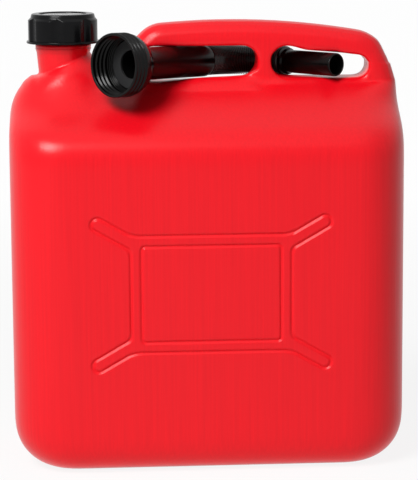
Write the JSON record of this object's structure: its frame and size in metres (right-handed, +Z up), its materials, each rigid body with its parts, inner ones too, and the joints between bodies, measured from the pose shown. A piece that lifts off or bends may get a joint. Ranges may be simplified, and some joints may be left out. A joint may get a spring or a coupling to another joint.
{
  "type": "fuel can",
  "caption": "Flat-sided plastic fuel can with a hollow bar handle, a screw cap on its neck and a flexible pouring spout stowed through the handle's windows.",
  "frame": {"origin": "centre of the base, on the surface that it stands on", "axes": "+Z up; +X along the can, from the neck's end towards the grip's end; -Y is the front, where the spout's collar stands out"},
  "size_m": [0.36, 0.19, 0.4136],
  "materials": {
    "red_body": "satin, with fine upright streaks",
    "black_cap": "semi-gloss",
    "black_spout": "satin",
    "gasket": "matte"
  },
  "bodies": {
    "can": {"can_body": "red_body"},
    "cap_seal": {"cap_gasket": "gasket"},
    "cap": {"cap": "black_cap"},
    "spout": {"spout_tube": "black_spout", "spout_gasket": "gasket", "spout_bellows": "black_spout"},
    "collar": {"spout_collar": "black_spout"},
    "nozzle": {"spout_nozzle": "black_spout"}
  },
  "joints": [
    {"name": "cap_lift", "type": "slide", "parent": "can", "child": "cap_seal", "axis": [0, 0, 1], "range_m": [0, 0.0151]},
    {"name": "cap_turn", "type": "hinge", "parent": "cap_seal", "child": "cap", "pos_m": [-0.1295, 0, 0.39], "axis": [0, 0, 1], "range_deg": [0, 1080]},
    {"name": "spout_push", "type": "slide", "parent": "can", "child": "spout", "axis": [0, 1, 0], "range_m": [0, 0.005]},
    {"name": "collar_turn", "type": "hinge", "parent": "spout", "child": "collar", "pos_m": [-0.085, -0.07035, 0.37133], "axis": [0.7079, 0.7055, -0.034], "continuous": true},
    {"name": "nozzle_flex", "type": "hinge", "parent": "spout", "child": "nozzle", "pos_m": [0.0451, 0.04404, 0.36545], "axis": [0.0241, 0.024, 0.9994], "range_deg": [0, 93], "deforming": ["spout_bellows"]}
  ],
  "couplings": [
    {"joint": "cap_lift", "follows": "cap_turn", "m_per_rad": 0.00079577}
  ]
}
